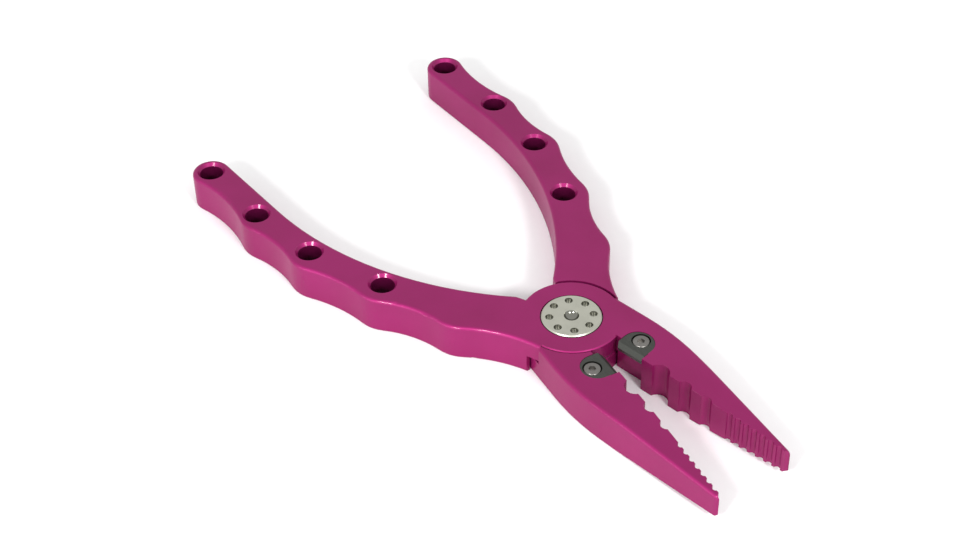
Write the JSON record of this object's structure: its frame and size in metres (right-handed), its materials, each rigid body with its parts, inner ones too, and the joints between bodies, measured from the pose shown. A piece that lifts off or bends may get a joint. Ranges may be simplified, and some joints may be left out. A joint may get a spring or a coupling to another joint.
{
  "type": "fishing pliers",
  "caption": "Flat machined fishing pliers with long toothed jaws, replaceable side cutters, a sprung pivot and scalloped handles with finger holes.",
  "frame": {"origin": "on the pivot axis, in the flat underside that the pliers lie on", "axes": "+X along the line of symmetry of the open pliers towards the jaw tips, +Z along the pivot axis towards the cap, +Y towards the handle of the lower half"},
  "size_m": [0.1643, 0.0828, 0.0097],
  "materials": {
    "half_lower": "satin anodised aluminium",
    "half_upper": "satin anodised aluminium",
    "pivot": "turned and bead blasted",
    "bush": "bronze, machined",
    "washer": "smooth",
    "spring": "drawn wire",
    "cutter": "ground carbide",
    "screw": "stainless"
  },
  "bodies": {
    "lower": {"lower_half": "half_lower", "pivot_bolt": "pivot", "pivot_nut": "pivot", "lower_bush": "bush", "lap_thrust_washer": "washer", "nut_washer": "washer", "cap_washer": "washer", "return_spring": "spring", "lower_half_cutter": "cutter", "lower_half_cutter_screw": "screw"},
    "upper": {"upper_half": "half_upper", "upper_bush": "bush", "upper_half_cutter": "cutter", "upper_half_cutter_screw": "screw"}
  },
  "joints": [
    {"name": "jaw_pivot", "type": "hinge", "parent": "lower", "child": "upper", "pos_m": [0, 0, 0], "axis": [0, 0, -1], "range_deg": [0, 18], "stiffness_Nm_per_rad": 0.25, "springref_deg": -45.84, "deforming": ["return_spring"]}
  ]
}
